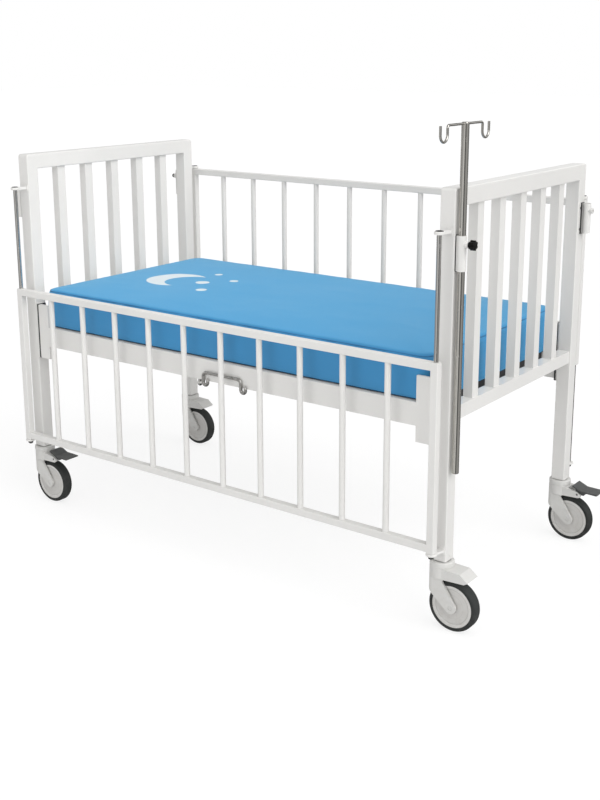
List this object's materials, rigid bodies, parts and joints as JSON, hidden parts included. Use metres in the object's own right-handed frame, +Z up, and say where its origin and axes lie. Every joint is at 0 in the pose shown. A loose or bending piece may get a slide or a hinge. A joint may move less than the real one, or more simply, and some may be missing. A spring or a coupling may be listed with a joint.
{
  "type": "paediatric hospital cot",
  "caption": "Hospital cot for a child: slatted ends on swivel castors, blue mattress on a steel deck, barred drop sides sliding on chrome rods, infusion pole and bag hook",
  "frame": {"origin": "On the floor, under the middle of the cot's bounding box, castors, sockets and pole included", "axes": "+X runs along the cot to the end that carries the infusion pole, +Y from the lowered front side to the raised rear side, +Z up; the floor is z = 0"},
  "size_m": [1.646, 0.881, 1.249],
  "materials": {
    "enamel": "satin",
    "black_bracket": "satin",
    "deck_sheet": "satin",
    "mattress_cover": "matte",
    "chrome": "polished",
    "black_plastic": "satin",
    "steel": "satin",
    "castor_grey": "satin",
    "hub_grey": "satin",
    "tyre": "matte",
    "pedal": "matte"
  },
  "bodies": {
    "cot": {"end_right": "enamel", "end_left": "enamel", "deck_frame": "enamel", "deck_panel": "deck_sheet", "mattress": "mattress_cover", "cap_screw": "black_plastic", "bag_hook": "chrome", "receiver_front_right": "black_bracket", "guide_rod_front_right": "chrome", "lower_eye_front_right": "enamel", "upper_eye_front_right": "enamel", "rod_bush_front_right": "black_plastic", "iv_socket_front_right": "enamel", "castor_stem_front_right": "steel", "receiver_front_left": "black_bracket", "guide_rod_front_left": "chrome", "lower_eye_front_left": "enamel", "upper_eye_front_left": "enamel", "rod_bush_front_left": "black_plastic", "iv_socket_front_left": "enamel", "castor_stem_front_left": "steel", "receiver_rear_right": "black_bracket", "guide_rod_rear_right": "chrome", "lower_eye_rear_right": "enamel", "upper_eye_rear_right": "enamel", "rod_bush_rear_right": "black_plastic", "iv_socket_rear_right": "enamel", "castor_stem_rear_right": "steel", "receiver_rear_left": "black_bracket", "guide_rod_rear_left": "chrome", "lower_eye_rear_left": "enamel", "upper_eye_rear_left": "enamel", "rod_bush_rear_left": "black_plastic", "iv_socket_rear_left": "enamel", "castor_stem_rear_left": "steel"},
    "front_side": {"side_front": "enamel"},
    "rear_side": {"side_rear": "enamel"},
    "pole": {"iv_pole": "chrome"},
    "knob": {"clamp_knob": "black_plastic"},
    "castor_front_right": {"castor_fork_front_right": "castor_grey", "castor_axle_front_right": "steel"},
    "wheel_front_right": {"castor_hub_front_right": "hub_grey", "castor_tyre_front_right": "tyre"},
    "castor_front_left": {"castor_fork_front_left": "castor_grey", "castor_axle_front_left": "steel"},
    "wheel_front_left": {"castor_hub_front_left": "hub_grey", "castor_tyre_front_left": "tyre"},
    "pedal_front_left": {"brake_pedal_front_left": "pedal"},
    "castor_rear_right": {"castor_fork_rear_right": "castor_grey", "castor_axle_rear_right": "steel"},
    "wheel_rear_right": {"castor_hub_rear_right": "hub_grey", "castor_tyre_rear_right": "tyre"},
    "pedal_rear_right": {"brake_pedal_rear_right": "pedal"},
    "castor_rear_left": {"castor_fork_rear_left": "castor_grey", "castor_axle_rear_left": "steel"},
    "wheel_rear_left": {"castor_hub_rear_left": "hub_grey", "castor_tyre_rear_left": "tyre"}
  },
  "joints": [
    {"name": "front_side_slide", "type": "slide", "parent": "cot", "child": "front_side", "axis": [0, 0, 1], "range_m": [0, 0.3]},
    {"name": "rear_side_slide", "type": "slide", "parent": "cot", "child": "rear_side", "axis": [0, 0, 1], "range_m": [-0.3, 0]},
    {"name": "pole_slide", "type": "slide", "parent": "cot", "child": "pole", "axis": [0, 0, 1], "range_m": [-0.12, 0.2]},
    {"name": "knob_turn", "type": "hinge", "parent": "cot", "child": "knob", "pos_m": [0.747, -0.3265, 0.972], "axis": [1, 0, 0], "continuous": true},
    {"name": "swivel_front_right", "type": "hinge", "parent": "cot", "child": "castor_front_right", "pos_m": [0.696, -0.3185, 0.162], "axis": [0, 0, 1], "continuous": true},
    {"name": "roll_front_right", "type": "hinge", "parent": "castor_front_right", "child": "wheel_front_right", "pos_m": [0.734, -0.3185, 0.066], "axis": [0, 1, 0], "continuous": true},
    {"name": "swivel_front_left", "type": "hinge", "parent": "cot", "child": "castor_front_left", "pos_m": [-0.764, -0.3185, 0.162], "axis": [0, 0, 1], "continuous": true},
    {"name": "roll_front_left", "type": "hinge", "parent": "castor_front_left", "child": "wheel_front_left", "pos_m": [-0.726, -0.3185, 0.066], "axis": [0, 1, 0], "continuous": true},
    {"name": "brake_front_left", "type": "hinge", "parent": "castor_front_left", "child": "pedal_front_left", "pos_m": [-0.7, -0.3185, 0.149], "axis": [0, 1, 0], "range_deg": [0, 14]},
    {"name": "swivel_rear_right", "type": "hinge", "parent": "cot", "child": "castor_rear_right", "pos_m": [0.696, 0.3715, 0.162], "axis": [0, 0, 1], "continuous": true},
    {"name": "roll_rear_right", "type": "hinge", "parent": "castor_rear_right", "child": "wheel_rear_right", "pos_m": [0.734, 0.3715, 0.066], "axis": [0, 1, 0], "continuous": true},
    {"name": "brake_rear_right", "type": "hinge", "parent": "castor_rear_right", "child": "pedal_rear_right", "pos_m": [0.76, 0.3715, 0.149], "axis": [0, 1, 0], "range_deg": [0, 14]},
    {"name": "swivel_rear_left", "type": "hinge", "parent": "cot", "child": "castor_rear_left", "pos_m": [-0.764, 0.3715, 0.162], "axis": [0, 0, 1], "continuous": true},
    {"name": "roll_rear_left", "type": "hinge", "parent": "castor_rear_left", "child": "wheel_rear_left", "pos_m": [-0.726, 0.3715, 0.066], "axis": [0, 1, 0], "continuous": true}
  ]
}
